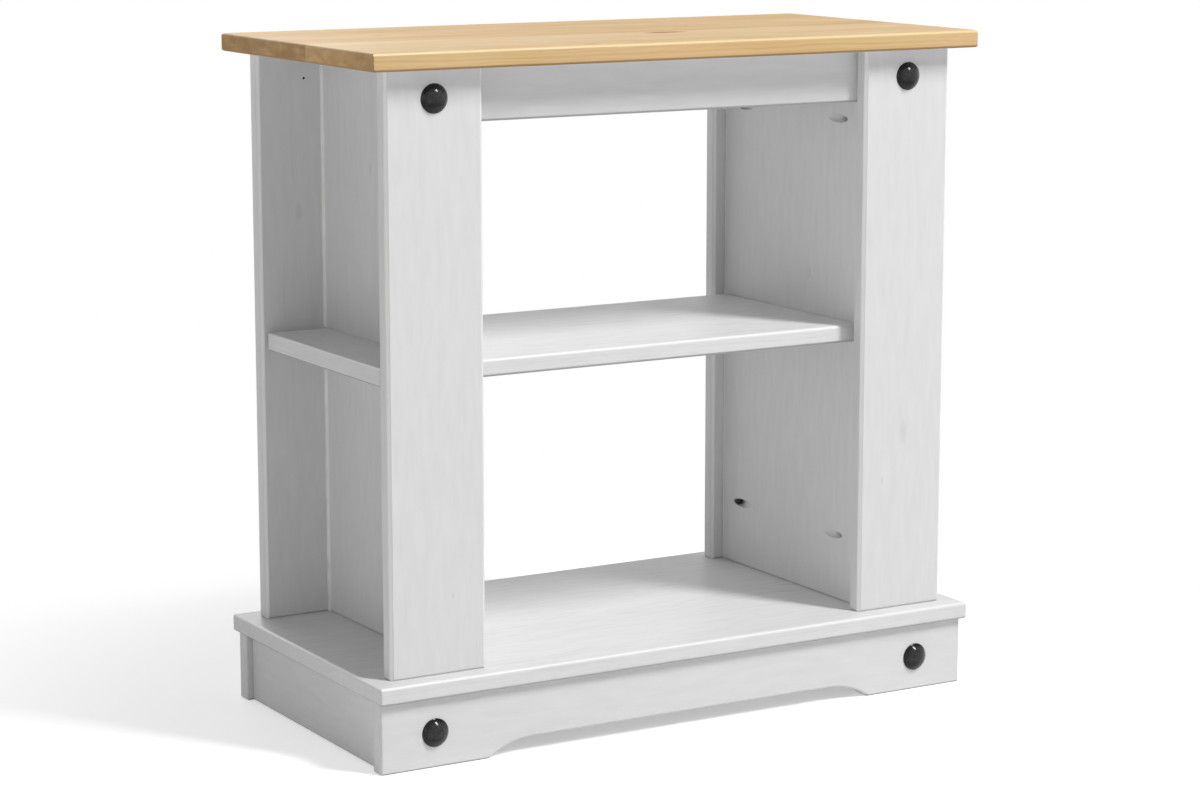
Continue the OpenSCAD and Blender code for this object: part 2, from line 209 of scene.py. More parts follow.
def knot_group():
    """Node group: how far a knot pushes the growth lines aside, in millimetres, and where its heart shows."""
    tree, given, result = new_group("Knot in pine", ("Board", "Along", "Across", "Radius"), ("Push", "Heart"))
    centre = add(tree, "ShaderNodeCombineXYZ", {"X": given["Along"], "Y": given["Across"]})
    away = add(tree, "ShaderNodeVectorMath", {0: given["Board"], 1: centre}, operation="SUBTRACT")
    # A knot is drawn out along the grain, and reaches through the board.
    oval = add(tree, "ShaderNodeVectorMath", {0: away, 1: (0.36, 1, 0)}, operation="MULTIPLY")
    distance = add(tree, "ShaderNodeVectorMath", {0: oval}, operation="LENGTH").outputs["Value"]
    rough = patches(tree, given["Board"], 6.25, 6.25, 2)
    uneven = add(tree, "ShaderNodeMath", {0: rough, 1: 4, 2: distance}, operation="MULTIPLY_ADD")
    radii = add(tree, "ShaderNodeMath", {0: uneven, 1: given["Radius"]}, operation="DIVIDE")
    near = add(
        tree, "ShaderNodeMapRange", {"Value": radii, "From Min": 4, "From Max": 0.6}, interpolation_type="SMOOTHERSTEP"
    )
    heart = add(
        tree, "ShaderNodeMapRange", {"Value": radii, "From Min": 1.5, "From Max": 0.7}, interpolation_type="SMOOTHSTEP"
    )
    aside = add(tree, "ShaderNodeMath", {0: near, 1: given["Radius"]}, operation="MULTIPLY")
    push = add(tree, "ShaderNodeMath", {0: aside, 1: 1.6}, operation="MULTIPLY")
    feed(tree, result, {"Push": push, "Heart": heart})


def grain_group():
    """Node group: growth lines, fibres and glue joints of a board made of pine staves.

    Board is the place along, across and through the board, in millimetres.
    """
    tree, given, result = new_group(
        "Grain of glued pine",
        ("Board", "Seed", "Stave", "Ring", "Fibre", "Push"),
        ("Latewood", "Fibre", "Tint", "Joint"),
    )
    axes = add(tree, "ShaderNodeSeparateXYZ", {0: given["Board"]}).outputs
    across = add(tree, "ShaderNodeMath", {0: axes["Y"], 1: given["Stave"]}, operation="DIVIDE")
    staves = add(tree, "ShaderNodeMath", {0: across, 1: 0.5}, operation="ADD")
    index = add(tree, "ShaderNodeMath", {0: staves}, operation="FLOOR")
    inside = add(tree, "ShaderNodeMath", {0: staves}, operation="FRACT")
    which = add(tree, "ShaderNodeCombineXYZ", {"X": index, "Y": given["Seed"]})
    chance = add(tree, "ShaderNodeTexWhiteNoise", {"Vector": which}, noise_dimensions="3D")
    random = add(tree, "ShaderNodeSeparateColor", {0: chance.outputs["Color"]}).outputs
    # The pith of each stave lies beside and behind it, so that its faces show arches and its ends show arcs.
    pith_share = add(tree, "ShaderNodeMath", {0: random[0], 1: 1.5, 2: -0.25}, operation="MULTIPLY_ADD")
    off_pith = add(tree, "ShaderNodeMath", {0: inside, 1: pith_share}, operation="SUBTRACT")
    sideways = add(tree, "ShaderNodeMath", {0: off_pith, 1: given["Stave"]}, operation="MULTIPLY")
    pith_depth = add(tree, "ShaderNodeMath", {0: random[1], 1: 40, 2: 16}, operation="MULTIPLY_ADD")
    behind = add(tree, "ShaderNodeMath", {0: axes["Z"], 1: pith_depth}, operation="ADD")
    section = add(tree, "ShaderNodeCombineXYZ", {"X": sideways, "Y": behind})
    radius = add(tree, "ShaderNodeVectorMath", {0: section}, operation="LENGTH").outputs["Value"]
    # Slow bends along the stem widen into arches, and smaller ones make the lines waver. No two staves match.
    slid = add(tree, "ShaderNodeVectorMath", {0: chance.outputs["Color"], 1: (900, 90, 90)}, operation="MULTIPLY")
    stem = add(tree, "ShaderNodeVectorMath", {0: given["Board"], 1: slid}, operation="ADD")
    bend = patches(tree, stem, 312.5, 71.4, 1)
    waver = patches(tree, stem, 83.3, 14.3, 2)
    bent = add(tree, "ShaderNodeMath", {0: bend, 1: 34, 2: radius}, operation="MULTIPLY_ADD")
    wavered = add(tree, "ShaderNodeMath", {0: waver, 1: 5, 2: bent}, operation="MULTIPLY_ADD")
    pushed = add(tree, "ShaderNodeMath", {0: wavered, 1: given["Push"]}, operation="ADD")
    years = add(tree, "ShaderNodeMath", {0: pushed, 1: given["Ring"]}, operation="DIVIDE")
    # A year's wood darkens slowly to its latewood and ends sharply, and some years are fainter than others.
    year = add(tree, "ShaderNodeMath", {0: years}, operation="FRACT")
    late = add(tree, "ShaderNodeValToRGB", {0: year})
    stops = late.color_ramp.elements
    stops[0].color, stops[1].color = (0, 0, 0, 1), (0, 0, 0, 1)
    for position, value in ((0.45, 0.12), (0.84, 1), (0.93, 0.8)):
        stops.new(position).color = (value, value, value, 1)
    counted = add(tree, "ShaderNodeMath", {0: years}, operation="FLOOR")
    strength = add(tree, "ShaderNodeTexWhiteNoise", {"W": counted}, noise_dimensions="1D")
    some = add(tree, "ShaderNodeMath", {0: strength.outputs["Value"], 1: 0.7, 2: 0.3}, operation="MULTIPLY_ADD")
    latewood = add(tree, "ShaderNodeMath", {0: late, 1: some}, operation="MULTIPLY")
    fine = add(tree, "ShaderNodeMath", {0: 1, 1: given["Fibre"]}, operation="DIVIDE")
    drawn_out = add(tree, "ShaderNodeVectorMath", {0: stem, 1: (0.02, 1, 1)}, operation="MULTIPLY")
    fibre = add(tree, "ShaderNodeTexNoise", {"Vector": drawn_out, "Scale": fine, "Detail": 3})
    middle = add(tree, "ShaderNodeMath", {0: inside, 1: 0.5}, operation="SUBTRACT")
    from_middle = add(tree, "ShaderNodeMath", {0: middle}, operation="ABSOLUTE")
    to_joint = add(tree, "ShaderNodeMath", {0: 0.5, 1: from_middle}, operation="SUBTRACT")
    joint_mm = add(tree, "ShaderNodeMath", {0: to_joint, 1: given["Stave"]}, operation="MULTIPLY")
    joint = add(
        tree, "ShaderNodeMapRange", {"Value": joint_mm, "From Min": 0.5, "From Max": 0}, interpolation_type="SMOOTHSTEP"
    )
    feed(tree, result, {"Latewood": latewood, "Fibre": fibre, "Tint": chance.outputs["Value"], "Joint": joint})


def board_nodes(tree, name, grain, across):
    """Add the nodes that a board's finish starts from. grain and across are the axes of its length and its width."""
    low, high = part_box(name)
    sizes = bpy.context.scene.stand_sizes
    through = ({X, Y, Z} - {grain, across}).pop()
    spot = add(tree, "ShaderNodeTexCoord").outputs["Object"]
    centred = add(tree, "ShaderNodeVectorMath", {0: spot, 1: (low + high) / 2}, operation="SUBTRACT")
    scaled = add(tree, "ShaderNodeVectorMath", {0: centred, "Scale": 1 / MM}, operation="SCALE")
    axes = add(tree, "ShaderNodeSeparateXYZ", {0: scaled}).outputs
    place = add(tree, "ShaderNodeCombineXYZ", {0: axes[grain], 1: axes[across], 2: axes[through]})
    push, heart = 0, 0
    for along, sideways, radius in KNOTS.get(name, ()):
        given = {"Board": place, "Along": along, "Across": sideways, "Radius": radius}
        knot = add(tree, "ShaderNodeGroup", given, node_tree=bpy.data.node_groups["Knot in pine"]).outputs
        push = add(tree, "ShaderNodeMath", {0: push, 1: knot["Push"]}, operation="ADD")
        heart = add(tree, "ShaderNodeMath", {0: heart, 1: knot["Heart"]}, operation="MAXIMUM")
    given = {
        "Board": place,
        "Seed": sorted(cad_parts).index(name),
        "Stave": sizes.stave / MM,
        "Ring": sizes.ring / MM,
        "Fibre": sizes.fibre / MM,
        "Push": push,
    }
    wood = add(tree, "ShaderNodeGroup", given, node_tree=bpy.data.node_groups["Grain of glued pine"]).outputs
    # Near two faces at once is near an edge.
    half = [(high[i] - low[i]) / 2 / MM for i in (grain, across, through)]
    wear = sizes.edge_wear / MM
    size = add(tree, "ShaderNodeVectorMath", {0: place}, operation="ABSOLUTE")
    past = add(tree, "ShaderNodeVectorMath", {0: size, 1: [h - wear for h in half]}, operation="SUBTRACT")
    share = add(tree, "ShaderNodeVectorMath", {0: past, "Scale": 1 / wear}, operation="SCALE")
    near = add(tree, "ShaderNodeVectorMath", {0: share, 1: (0, 0, 0)}, operation="MAXIMUM")
    by = add(tree, "ShaderNodeSeparateXYZ", {0: near}).outputs
    corner_edge, long_edge, end_edge = (
        add(tree, "ShaderNodeMath", {0: by[i], 1: by[j]}, operation="MULTIPLY")
        for i, j in ((0, 1), (1, 2), (0, 2))
    )
    two = add(tree, "ShaderNodeMath", {0: corner_edge, 1: long_edge}, operation="MAXIMUM")
    edge = add(tree, "ShaderNodeMath", {0: two, 1: end_edge}, operation="MAXIMUM")
    under_faces = add(tree, "ShaderNodeVectorMath", {0: half, 1: size}, operation="SUBTRACT")
    under = add(tree, "ShaderNodeSeparateXYZ", {0: under_faces}).outputs
    least = add(tree, "ShaderNodeMath", {0: under[0], 1: under[1]}, operation="MINIMUM")
    depth = add(tree, "ShaderNodeMath", {0: least, 1: under[2]}, operation="MINIMUM")
    return BoardNodes(place, wood, heart, edge, long_edge, depth)


def new_material(name):
    """An empty material with an output, and its Principled shader."""
    material = bpy.data.materials.new(name)
    material.use_nodes = True
    tree = material.node_tree
    tree.nodes.clear()
    shader = add(tree, "ShaderNodeBsdfPrincipled")
    add(tree, "ShaderNodeOutputMaterial", {"Surface": shader})
    return material, tree, shader


def painted_pine(name, grain, across):
    """Satin acrylic paint on planed pine: white with a soft sheen, through which the latewood lines, the glue joints
    and the knots still show as faint relief and tint. Its upper edges, and the long edges of upright boards, are
    polished and given a painted highlight; its lower edges get a painted shade line; and the bottoms of the pockets
    are bare wood, darkened further as painted shade."""
    colours = bpy.context.scene.stand_colours
    sizes = bpy.context.scene.stand_sizes
    material, tree, shader = new_material(f"Satin paint on pine, {name.replace('_', ' ')}")
    board = board_nodes(tree, name, grain, across)
    # Rolled on boards that lie flat, the paint keeps stronger marks than where it's sprayed on upright ones.
    lies_flat = Z not in (grain, across)
    marks, faint, strong = (0.75, 0.7, 1.75) if lies_flat else (0.2, 0.33, 1.45)
    brush = sizes.brush / MM
    cloud = patches(tree, board.place, 167, 33.3, 3)
    mottled = patches(tree, board.place, 50, 9.1, 3)
    brushed = patches(tree, board.place, 50 * brush, brush, 2)
    sunk = add(tree, "ShaderNodeMath", {0: board.grain["Latewood"], 1: cloud}, operation="MULTIPLY")
    lined = add(tree, "ShaderNodeMath", {0: sunk, 1: marks, 2: mottled}, operation="MULTIPLY_ADD")
    tinted = add(tree, "ShaderNodeMath", {0: board.grain["Tint"], 1: 0.2, 2: lined}, operation="MULTIPLY_ADD")
    streaked = add(tree, "ShaderNodeMath", {0: brushed, 1: marks, 2: tinted}, operation="MULTIPLY_ADD")
    share = add(tree, "ShaderNodeMapRange", {"Value": streaked, "From Min": faint, "From Max": strong})
    turned = add(tree, "ShaderNodeSeparateXYZ", {0: add(tree, "ShaderNodeTexCoord").outputs["Normal"]}).outputs
    upward = add(tree, "ShaderNodeMapRange", {"Value": turned[Z], "From Min": 0.15, "From Max": 0.5, "To Max": 1.6})
    downward = add(tree, "ShaderNodeMapRange", {"Value": turned[Z], "From Min": -0.15, "From Max": -0.5, "To Max": 1.6})
    # The upper edges of flat boards get a painted highlight, and their lower edges a painted shade line.
    where, highlighted, bright, shade_strength = board.edge, upward, colours.highlight_paint, downward
    if grain == Z:
        # A painted highlight runs along all the long edges of posts and panels, and no painted shade is put at their
        # feet.
        where, highlighted, bright, shade_strength = board.long_edge, 2.4, colours.filler, 0
    highlight_and_polish = add(tree, "ShaderNodeMath", {0: where, 1: highlighted}, operation="MULTIPLY", use_clamp=True)
    lower_edge_shade = add(tree, "ShaderNodeMath", {0: board.edge, 1: shade_strength}, operation="MULTIPLY")
    worn = add(tree, "ShaderNodeMath", {0: board.edge, 1: 0.3}, operation="MULTIPLY")
    stained = add(tree, "ShaderNodeMath", {0: board.heart, 1: 0.55}, operation="MULTIPLY")
    # Paint doesn't reach the bottoms of the pockets, where the drill has left the wood bare, and they are darkened
    # further as painted shade of the deep holes.
    deep = add(tree, "ShaderNodeMapRange", {"Value": board.depth, "From Min": 5, "From Max": 9.5})
    finish_colour = layers(
        tree,
        colours.paint,
        (share, colours.paint_in_grain),
        (worn, colours.paint_over_knot),
        (highlight_and_polish, bright),
        (lower_edge_shade, colours.lower_edge_shade_paint),
        (stained, colours.paint_over_knot),
        (deep, colours.pocket_wood_and_shade),
    )
    gloss = add(tree, "ShaderNodeMapRange", {"Value": share, "To Min": 0.42, "To Max": 0.56})
    rough = add(tree, "ShaderNodeMath", {0: highlight_and_polish, 1: -0.1, 2: gloss}, operation="MULTIPLY_ADD")
    relief = add(tree, "ShaderNodeMath", {0: brushed, 1: 0.6, 2: board.grain["Latewood"]}, operation="MULTIPLY_ADD")
    joined = add(tree, "ShaderNodeMath", {0: board.grain["Joint"], 1: -0.8, 2: relief}, operation="MULTIPLY_ADD")
    knotted = add(tree, "ShaderNodeMath", {0: board.heart, 1: 1.2, 2: joined}, operation="MULTIPLY_ADD")
    bump = add(tree, "ShaderNodeBump", {"Height": knotted, "Distance": 0.07 * marks * MM, "Strength": 1})
    feed(tree, shader, {"Base Color": finish_colour, "Roughness": rough, "IOR": 1.48, "Normal": bump})
    return material


def lacquered_pine(name, grain, across):
    """Glued pine under a satin clear lacquer, planed and rolled on: honey staves with darker growth lines,
    a smooth coat over them, and ends that are darker because end grain soaks the lacquer up."""
    colours = bpy.context.scene.stand_colours
    material, tree, shader = new_material(f"Clear lacquer on pine, {name.replace('_', ' ')}")
    board = board_nodes(tree, name, grain, across)
    cloud = patches(tree, board.place, 250, 50, 3)
    lines = add(tree, "ShaderNodeMath", {0: board.grain["Latewood"], 1: 0.36}, operation="MULTIPLY")
    streaked = add(tree, "ShaderNodeMath", {0: board.grain["Fibre"], 1: 0.42, 2: lines}, operation="MULTIPLY_ADD")
    tinted = add(tree, "ShaderNodeMath", {0: board.grain["Tint"], 1: 0.35, 2: streaked}, operation="MULTIPLY_ADD")
    clouded = add(tree, "ShaderNodeMath", {0: cloud, 1: 0.75, 2: tinted}, operation="MULTIPLY_ADD")
    share = add(tree, "ShaderNodeMapRange", {"Value": clouded, "From Min": 0.56, "From Max": 1.3})
    # Stretches of heartwood are rosier than the sapwood beside them.
    rosy = patches(tree, board.place, 143, 31.25, 2, 33.3, (7, 3, 5))
    heartwood = add(tree, "ShaderNodeMapRange", {"Value": rosy, "From Min": 0.46, "From Max": 0.66, "To Max": 0.4})
    turned = add(tree, "ShaderNodeSeparateXYZ", {0: add(tree, "ShaderNodeTexCoord").outputs["Normal"]}).outputs
    facing = add(tree, "ShaderNodeMath", {0: turned[grain]}, operation="ABSOLUTE")
    end = add(
        tree, "ShaderNodeMapRange", {"Value": facing, "From Min": 0.3, "From Max": 0.9}, interpolation_type="SMOOTHSTEP"
    )
    patch = patches(tree, board.place, 50, 28.6, 4, 10)
    thirsty = add(tree, "ShaderNodeMath", {0: board.grain["Tint"], 1: 0.3, 2: patch}, operation="MULTIPLY_ADD")
    soaked = add(tree, "ShaderNodeMapRange", {"Value": thirsty, "From Min": 0.45, "From Max": 0.85})
    end_colour = layers(tree, colours.end_grain, (soaked, colours.soaked_end))
    covered = add(tree, "ShaderNodeMath", {0: end, 1: 0.9}, operation="MULTIPLY")
    jointed = add(tree, "ShaderNodeMath", {0: board.grain["Joint"], 1: 0.35}, operation="MULTIPLY")
    # The upper long edges are sanded to paler wood and carry a painted highlight, and a dark line of painted shade runs
    # along all the lower ones.
    upward = add(tree, "ShaderNodeMapRange", {"Value": turned[Z], "From Min": 0.05, "From Max": 0.35, "To Max": 1.8})
    down = {"Value": turned[Z], "From Min": -0.05, "From Max": -0.35, "To Max": 1.8}
    downward = add(tree, "ShaderNodeMapRange", down)
    beside = add(tree, "ShaderNodeMath", {0: 1, 1: end}, operation="SUBTRACT")
    lit_edge = add(tree, "ShaderNodeMath", {0: upward, 1: beside}, operation="MULTIPLY")
    highlight_and_polish = add(tree, "ShaderNodeMath", {0: board.edge, 1: lit_edge}, operation="MULTIPLY")
    lower_edge_shade_share = add(tree, "ShaderNodeMath", {0: board.edge, 1: downward}, operation="MULTIPLY")
    hearted = add(tree, "ShaderNodeMath", {0: board.heart, 1: 0.95}, operation="MULTIPLY")
    # The underside has the body's white paint: the light that it throws on the boards below is grey, not tan.
    under = add(tree, "ShaderNodeMapRange", {"Value": turned[Z], "From Min": -0.8, "From Max": -0.95})
    finish_colour = layers(
        tree,
        colours.earlywood,
        (share, colours.latewood),
        (heartwood, colours.heartwood),
        (covered, end_colour),
        (jointed, colours.latewood),
        (highlight_and_polish, colours.highlighted),
        (lower_edge_shade_share, colours.lower_edge_shade_wood),
        (hearted, colours.knot),
        (under, colours.paint),
    )
    gloss = add(tree, "ShaderNodeMapRange", {"Value": share, "To Min": 0.52, "To Max": 0.66})
    rough = add(tree, "ShaderNodeMath", {0: highlight_and_polish, 1: -0.2, 2: gloss}, operation="MULTIPLY_ADD")
    bump = add(tree, "ShaderNodeBump", {"Height": streaked, "Distance": 0.04 * MM, "Strength": 1})
    feed(tree, shader, {"Base Color": finish_colour, "Roughness": rough, "IOR": 1.5, "Normal": bump})
    return material


def acrylic_filler():
    """White acrylic filler drawn along a corner with a fingertip: whiter than the paint, with slow waves and small
    pits."""
    colours = bpy.context.scene.stand_colours
    material, tree, shader = new_material("White acrylic filler")
    spot = add(tree, "ShaderNodeTexCoord").outputs["Object"]
    waves = add(tree, "ShaderNodeTexNoise", {"Vector": spot, "Scale": 0.05 / MM, "Detail": 3})
    pits = add(tree, "ShaderNodeTexNoise", {"Vector": spot, "Scale": 0.7 / MM, "Detail": 2})
    finish_colour = layers(tree, colours.filler, (waves, colours.paint))
    rough = add(tree, "ShaderNodeMapRange", {"Value": waves, "To Min": 0.4, "To Max": 0.55})
    height = add(tree, "ShaderNodeMath", {0: pits, 1: 0.2, 2: waves}, operation="MULTIPLY_ADD")
    bump = add(tree, "ShaderNodeBump", {"Height": height, "Distance": 0.3 * MM, "Strength": 1})
    feed(tree, shader, {"Base Color": finish_colour, "Roughness": rough, "IOR": 1.48, "Normal": bump})
    return material


def bare_pine():
    """Sawn pine without a finish: matt and pale, with rough fibres standing up."""
    colours = bpy.context.scene.stand_colours
    material, tree, shader = new_material("Bare sawn pine")
    wood = board_nodes(tree, "plinth_corner_blocks", Z, X).grain
    share = add(tree, "ShaderNodeMath", {0: wood["Fibre"], 1: 0.5, 2: wood["Latewood"]}, operation="MULTIPLY_ADD")
    finish_colour = layers(tree, colours.bare_pine, (share, colours.bare_latewood))
    rough = add(tree, "ShaderNodeMapRange", {"Value": wood["Fibre"], "To Min": 0.7, "To Max": 0.9})
    bump = add(tree, "ShaderNodeBump", {"Height": wood["Fibre"], "Distance": 0.2 * MM, "Strength": 1})
    feed(tree, shader, {"Base Color": finish_colour, "Roughness": rough, "IOR": 1.5, "Normal": bump})
    return material


def bare_beech():
    """Turned beech without a finish: pinkish tan with short dark ray flecks."""
    colours = bpy.context.scene.stand_colours
    material, tree, shader = new_material("Bare turned beech")
    spot = add(tree, "ShaderNodeTexCoord").outputs["Object"]
    flecks = add(tree, "ShaderNodeTexVoronoi", {"Vector": spot, "Scale": 0.9 / MM})
    fleck = add(tree, "ShaderNodeMapRange", {"Value": flecks, "From Min": 0.35, "From Max": 0.1})
    cloud = add(tree, "ShaderNodeTexNoise", {"Vector": spot, "Scale": 0.25 / MM, "Detail": 3})
    share = add(tree, "ShaderNodeMath", {0: fleck, 1: cloud}, operation="MULTIPLY")
    finish_colour = layers(tree, colours.beech, (share, colours.beech_fleck))
    rough = add(tree, "ShaderNodeMapRange", {"Value": cloud, "To Min": 0.55, "To Max": 0.75})
    bump = add(tree, "ShaderNodeBump", {"Height": flecks, "Distance": 0.05 * MM, "Strength": 1})
    feed(tree, shader, {"Base Color": finish_colour, "Roughness": rough, "IOR": 1.5, "Normal": bump})
    return material


def lacquered_steel():
    """Pressed steel under black stoving lacquer: deep gloss toward the rim and below, with a paler grey on what faces
    up and out that is fine dust and also painted sheen, leaving the rim and the underside black as painted shade, on
    a dome that the press left slightly uneven."""
    colours = bpy.context.scene.stand_colours
    material, tree, shader = new_material("Black lacquered steel")
    coordinates = add(tree, "ShaderNodeTexCoord").outputs
    spot = coordinates["Object"]
    dents = add(tree, "ShaderNodeTexNoise", {"Vector": spot, "Scale": 0.1 / MM, "Detail": 1})
    grit = add(tree, "ShaderNodeTexNoise", {"Vector": spot, "Scale": 0.35 / MM, "Detail": 3})
    turned = add(tree, "ShaderNodeSeparateXYZ", {0: coordinates["Normal"]}).outputs
    outward = add(tree, "ShaderNodeMath", {0: turned[Y]}, operation="ABSOLUTE")
    # The rim and the part facing down stay black as painted shade; the paler grey above is dust and painted sheen.
    off_rim = add(
        tree,
        "ShaderNodeMapRange",
        {"Value": outward, "From Min": 0.68, "From Max": 0.88},
        interpolation_type="SMOOTHSTEP",
    )
    upper_part = add(
        tree,
        "ShaderNodeMapRange",
        {"Value": turned[Z], "From Min": -0.4, "From Max": -0.12},
        interpolation_type="SMOOTHSTEP",
    )
    patchy = add(tree, "ShaderNodeMapRange", {"Value": grit, "From Min": 0.3, "From Max": 0.65, "To Min": 0.35})
    dust_and_sheen_place = add(tree, "ShaderNodeMath", {0: upper_part, 1: off_rim}, operation="MULTIPLY")
    dust_and_sheen = add(tree, "ShaderNodeMath", {0: dust_and_sheen_place, 1: patchy}, operation="MULTIPLY")
    finish_colour = layers(tree, colours.stud, (dust_and_sheen, colours.stud_dust_and_sheen))
    rough = add(tree, "ShaderNodeMapRange", {"Value": dust_and_sheen, "To Min": 0.08, "To Max": 0.17})
    height = add(tree, "ShaderNodeMath", {0: grit, 1: 0.08, 2: dents}, operation="MULTIPLY_ADD")
    bump = add(tree, "ShaderNodeBump", {"Height": height, "Distance": 0.25 * MM, "Strength": 1})
    shader.inputs["Specular IOR Level"].default_value = 0.4
    feed(tree, shader, {"Base Color": finish_colour, "Roughness": rough, "IOR": 1.4, "Normal": bump})
    return material


def zinc_plated_steel():
    """Rolled screw steel with a zinc plating that has dulled with age: dark grey metal with faint spangle and soft
    scratches."""
    colours = bpy.context.scene.stand_colours
    material, tree, shader = new_material("Zinc plated steel")
    spot = add(tree, "ShaderNodeTexCoord").outputs["Object"]
    spangle = add(tree, "ShaderNodeTexVoronoi", {"Vector": spot, "Scale": 0.8 / MM})
    grey = add(tree, "ShaderNodeSeparateColor", {0: spangle.outputs["Color"]})
    dull = add(tree, "ShaderNodeMath", {0: grey, 1: 0.8}, operation="MULTIPLY")
    finish_colour = layers(tree, colours.zinc, (dull, colours.zinc_dull))
    rough = add(tree, "ShaderNodeMapRange", {"Value": grey, "To Min": 0.28, "To Max": 0.42})
    # Real scratches are finer than a tenth of a millimetre. They are drawn coarser, so that they show.
    scratches = add(tree, "ShaderNodeTexNoise", {"Vector": spot, "Scale": 2.5 / MM, "Detail": 2})
    bump = add(tree, "ShaderNodeBump", {"Height": scratches, "Distance": 0.02 * MM, "Strength": 1})
    feed(tree, shader, {"Base Color": finish_colour, "Roughness": rough, "Metallic": 1, "Normal": bump})
    return material


def finish(name, material):
    """Give a packed board this material."""
    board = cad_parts[name]
    board.data.materials.clear()
    board.data.materials.append(material)


def solids_of(node):
    """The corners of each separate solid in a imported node, as lists of points."""
    mesh = bmesh.new()
    mesh.from_mesh(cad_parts[node].data)
    bmesh.ops.remove_doubles(mesh, verts=mesh.verts, dist=1e-6)
    seen, found = set(), []
    for start in mesh.verts:
        if start in seen:
            continue
        seen.add(start)
        todo, solid = [start], []
        while todo:
            corner = todo.pop()
            solid.append(corner.co.copy())
            for edge in corner.link_edges:
                other = edge.other_vert(corner)
                if other not in seen:
                    seen.add(other)
                    todo.append(other)
        found.append(solid)
    mesh.free()
    return found


def off_axis(point, centre, axis):
    """How far a point lies from an axis through a centre."""
    arm = point - centre
    return (arm - axis * (arm @ axis)).length


def long_axis(points):
    """A turned solid's centre, the direction in which it is longest, and how far it reaches both ways."""
    centre = sum(points, Vector()) / len(points)
    far = max(points, key=lambda p: (p - centre).length)
    axis = (far - centre).normalized()
    # Each round turns the axis closer to the longest direction.
    for _ in range(20):
        axis = sum(((p - centre) * ((p - centre) @ axis) for p in points), Vector()).normalized()
    reach = [(p - centre) @ axis for p in points]
    return centre, axis, min(reach), max(reach)


def skin(mesh, rings):
    """Join rings of points, each with the same number of points, into a skin that is closed at both ends."""
    rows = [[mesh.verts.new(p) for p in ring] for ring in rings]
    for a, b in zip(rows, rows[1:]):
        for i in range(len(a)):
            j = (i + 1) % len(a)
            mesh.faces.new((a[i], a[j], b[j], b[i]))
    mesh.faces.new(reversed(rows[0]))
    mesh.faces.new(rows[-1])


def new_piece(name, mesh, node, material):
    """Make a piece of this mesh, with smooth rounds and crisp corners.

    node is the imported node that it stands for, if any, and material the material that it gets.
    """
    bmesh.ops.recalc_face_normals(mesh, faces=mesh.faces)
    data = bpy.data.meshes.new(name)
    mesh.to_mesh(data)
    mesh.free()
    data.shade_smooth()
    data.set_sharp_from_angle(angle=math.radians(40))
    data.materials.append(material)
    piece = bpy.data.objects.new(name, data)
    bpy.context.scene.collection.objects.link(piece)
    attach(piece, "root")
    if node:
        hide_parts(node)


def placing(centre, axis, start):
    """The matrix that puts a piece made along +Z from the origin onto this axis."""
    turn = axis.to_track_quat("Z", "Y").to_matrix().to_4x4()
    return Matrix.Translation(centre + axis * start) @ turn


def circle(radius, z, count, wave=None):
    """A ring of points round the Z axis. wave gives the radius's change at an angle."""
    points = []
    for i in range(count):
        angle = 2 * math.pi * i / count
        r = radius + (wave(angle) if wave else 0)
        points.append(Vector((r * math.cos(angle), r * math.sin(angle), z)))
    return points


def build_studs(node, name, material):
    """Domed studs with a rolled rim and a pin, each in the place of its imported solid."""
    around, dome_rings = 64, 14
    hair, pin_chamfer, pin_end_share = 0.1 * MM, 0.3 * MM, 0.8
    # The dome springs from just inside the rim's roll, which is given by angles from its outermost point.
    dome_share = 0.97
    rim_turns = [math.radians(-30 + 22.5 * i) for i in range(5)]
    roll = bpy.context.scene.stand_sizes.rim_roll
    # The front and the rear are alike, so the rear boards' faces say how far out both lie.
    faces = [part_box(board)[1].y for board in ("rear_left_post", "rear_plinth_board")]
    mesh = bmesh.new()
    for points in solids_of(node):
        outward = Vector((0, math.copysign(1, points[0].y), 0))
        low = min(p @ outward for p in points)
        high = max(p @ outward for p in points)
        xs, zs = [p.x for p in points], [p.z for p in points]
        centre = Vector(((max(xs) + min(xs)) / 2, 0, (max(zs) + min(zs)) / 2))
        face = max(y for y in faces if y < high)
        radius, dome = (max(xs) - min(xs)) / 2, high - face
        sphere = (radius**2 + dome**2) / (2 * dome)
        turns = [math.pi / 2 * i / dome_rings for i in range(dome_rings, 0, -1)]
        rise = [
            (r, dome - sphere + math.sqrt(max(sphere**2 - r**2, 0)))
            for r in (radius * math.sin(turn) * dome_share for turn in turns)
        ]
        pin = max(math.hypot(p.x - centre.x, p.z - centre.z) for p in points if p @ outward < low + hair)
        pin_end = low - face
        profile = [(pin * pin_end_share, pin_end), (pin, pin_end + pin_chamfer), (pin, 0), (radius - 0.5 * roll, 0)]
        profile += [(radius - roll * (1 - math.cos(turn)), roll * (0.5 + math.sin(turn))) for turn in rim_turns]
        rim_radius, rim_height = profile[-1]
        profile += [(r, z) for r, z in rise if z > rim_height + hair and r < rim_radius]
        place = placing(centre, outward, face)
        skin(mesh, [[place @ p for p in circle(r, z, around)] for r, z in profile])
    new_piece(name, mesh, node, material)


def recess(radius, arm):
    """The radius of a cross recess at each angle, as the change from a circle of this radius.

    arm is half the width of the cross's arms.
    """

    def wave(angle):
        off = abs((angle + math.pi / 4) % (math.pi / 2) - math.pi / 4)
        return min(radius, arm / max(math.sin(off), 1e-3)) - radius

    return wave


